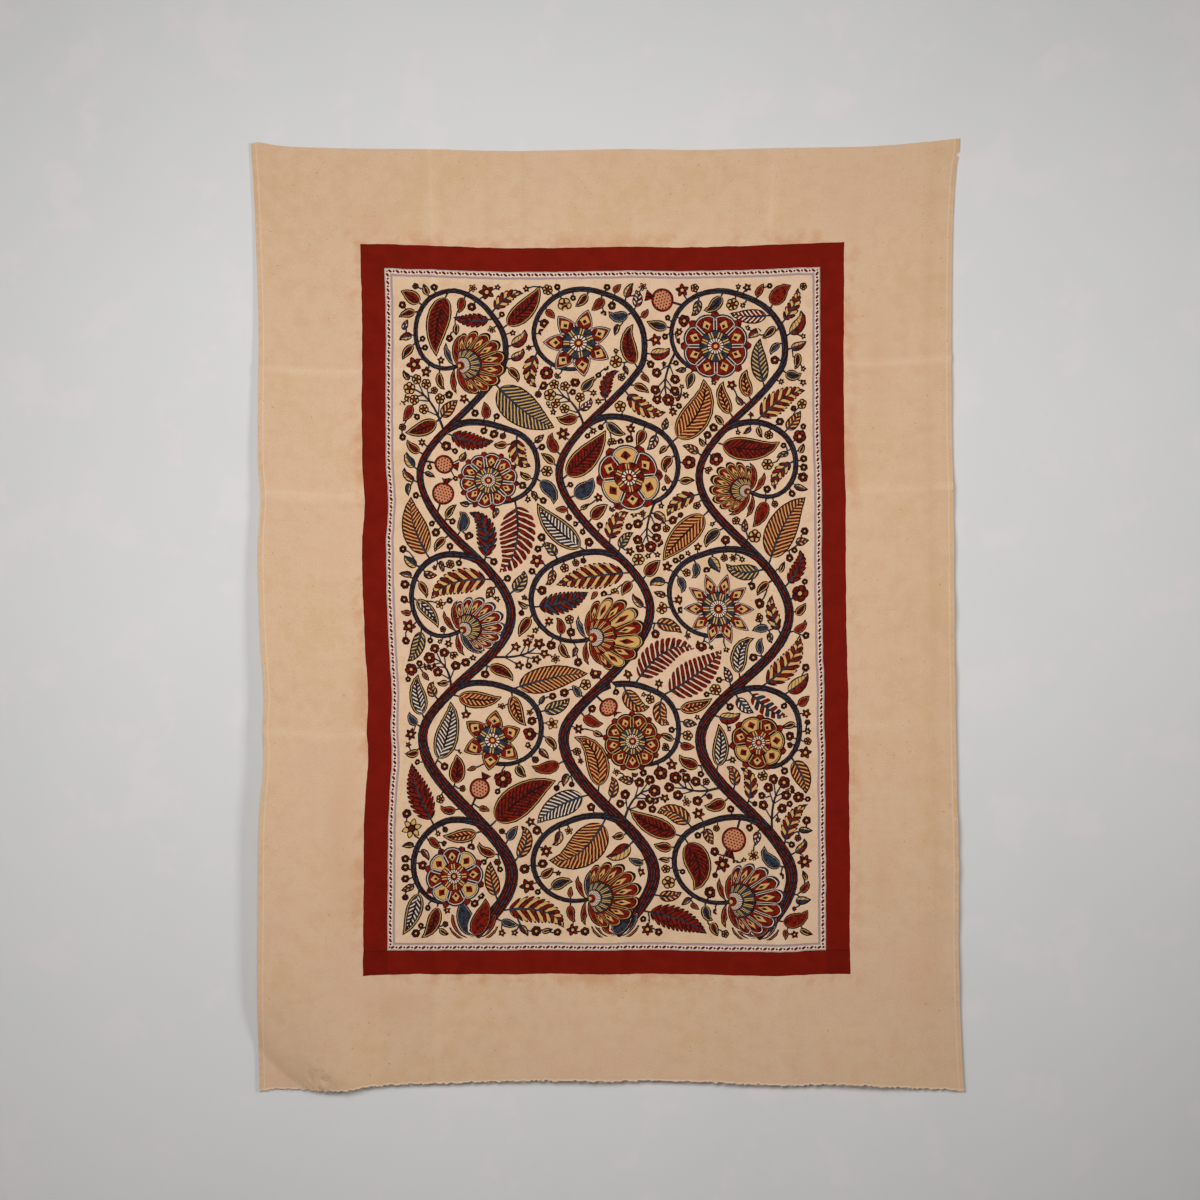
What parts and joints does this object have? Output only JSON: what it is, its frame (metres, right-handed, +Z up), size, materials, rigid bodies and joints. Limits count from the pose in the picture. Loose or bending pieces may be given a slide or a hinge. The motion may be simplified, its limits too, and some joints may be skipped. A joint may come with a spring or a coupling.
{
  "type": "kalamkari panel",
  "caption": "Painted cotton wall hanging: an upright sheet with a selvedge down each side, a wide plain margin, a dark red band and a field of scrolling vines and flowers, hung by its upper corners.",
  "frame": {"origin": "halfway between the two upper corners, in the plane of the wall", "axes": "+Z up the cloth, +X across it to the viewer's right, -Y out of the wall towards the viewer"},
  "size_m": [1.127, 0.0211, 1.504],
  "materials": {
    "dyed_cotton": "plain-woven cotton, hand painted and resist dyed, matt, softly creased"
  },
  "bodies": {
    "root": {"panel_cloth": "dyed_cotton"}
  },
  "joints": []
}
